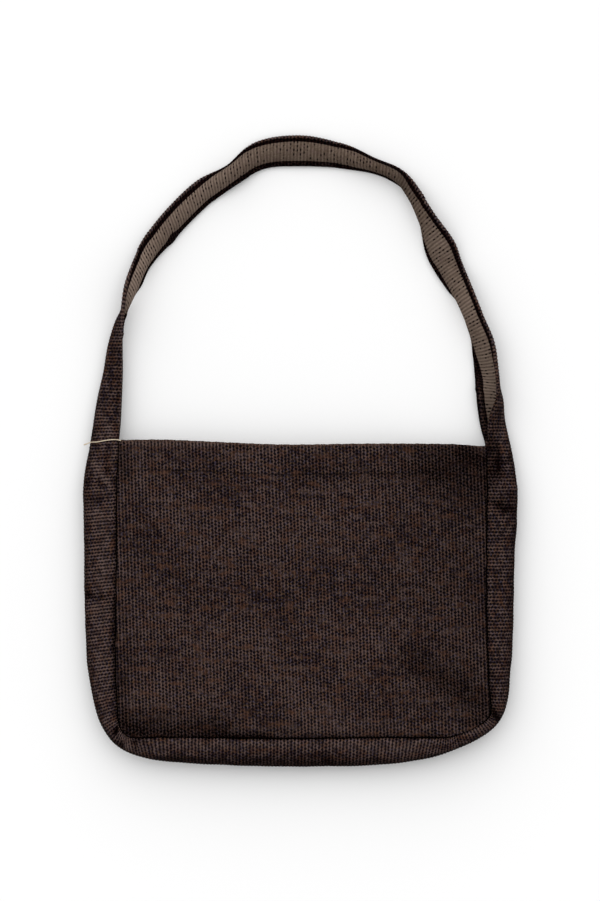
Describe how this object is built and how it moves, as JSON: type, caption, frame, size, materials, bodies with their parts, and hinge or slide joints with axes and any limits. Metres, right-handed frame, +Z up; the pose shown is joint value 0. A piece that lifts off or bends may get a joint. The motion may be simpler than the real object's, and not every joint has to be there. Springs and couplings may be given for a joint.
{
  "type": "shoulder book bag",
  "caption": "Flat shoulder book bag of coarse woven cloth with a gusset that runs on into a wide strap, lying on its back with the strap laid out in an arch.",
  "frame": {"origin": "on the ground under the middle of the whole outline, bag and strap together", "axes": "+Z up from the ground, +Y from the bottom seam towards the strap, +X across the bag"},
  "size_m": [0.3993, 0.5818, 0.0363],
  "materials": {
    "brown_cloth": "coarse matt weave",
    "strap_cloth": "coarse matt weave, paler reverse"
  },
  "bodies": {
    "root": {"front_panel": "brown_cloth", "back_panel": "brown_cloth", "gusset": "brown_cloth", "strap": "strap_cloth"}
  },
  "joints": []
}
